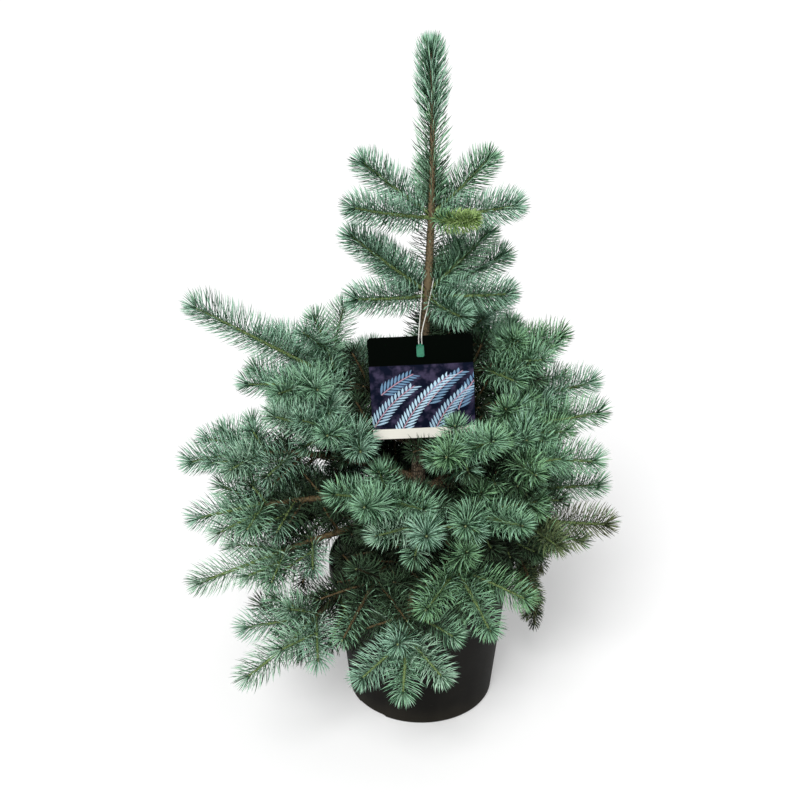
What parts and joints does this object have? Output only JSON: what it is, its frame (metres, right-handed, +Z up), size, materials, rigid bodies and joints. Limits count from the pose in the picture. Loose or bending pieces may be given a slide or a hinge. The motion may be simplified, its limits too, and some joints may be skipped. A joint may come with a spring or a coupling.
{
  "type": "potted spruce plant",
  "caption": "Young conifer with a tall leader, tiered boughs of short blue-green needles and a square hang tag, standing in a round tapered nursery pot.",
  "frame": {"origin": "middle of the pot's flat underside", "axes": "+Z up along the trunk; -Y is the front, the side that the hang tag faces"},
  "size_m": [0.4821, 0.4637, 0.762],
  "materials": {
    "pot": "matt black moulded plastic with some dust",
    "soil": "dark moist potting soil with bark chips",
    "bark": "rough orange-brown to olive bark",
    "needles": "matt waxy blue-green needles",
    "tag": "printed plastic card, satin",
    "seal": "glossy green plastic",
    "string": "thin pale cotton string"
  },
  "bodies": {
    "root": {"bough_back_left_lower": "bark", "bough_back_left_middle": "bark", "bough_back_middle": "bark", "bough_back_right_lower": "bark", "bough_back_right_middle": "bark", "bough_front_left_upper": "bark", "bough_front_right_upper": "bark", "bough_hanging_right": "bark", "bough_left_lower": "bark", "bough_left_middle": "bark", "bough_left_upper": "bark", "bough_low_back_left": "bark", "bough_low_back_right": "bark", "bough_low_front": "bark", "bough_low_front_left": "bark", "bough_low_left_back": "bark", "bough_low_left_front": "bark", "bough_low_right": "bark", "bough_right_front": "bark", "bough_right_lower": "bark", "bough_right_middle": "bark", "bough_right_upper": "bark", "first_whorl": "needles", "foliage_back_left_lower": "needles", "foliage_back_left_middle": "needles", "foliage_back_left_upper": "needles", "foliage_back_middle": "needles", "foliage_back_right_lower": "needles", "foliage_back_right_middle": "needles", "foliage_back_right_upper": "needles", "foliage_front_left_middle": "needles", "foliage_front_left_upper": "needles", "foliage_front_middle": "needles", "foliage_front_right_middle": "needles", "foliage_front_right_upper": "needles", "foliage_hanging_right": "needles", "foliage_left_lower": "needles", "foliage_left_middle": "needles", "foliage_left_upper": "needles", "foliage_low_back_left": "needles", "foliage_low_back_right": "needles", "foliage_low_front": "needles", "foliage_low_front_corner": "needles", "foliage_low_front_left": "needles", "foliage_low_front_right": "needles", "foliage_low_left_back": "needles", "foliage_low_left_front": "needles", "foliage_low_right": "needles", "foliage_right_front": "needles", "foliage_right_lower": "needles", "foliage_right_middle": "needles", "foliage_right_upper": "needles", "leader": "needles", "pot": "pot", "second_whorl": "needles", "soil": "soil", "tag": "tag", "tag_seal": "seal", "tag_string": "string", "trunk": "bark"}
  },
  "joints": []
}
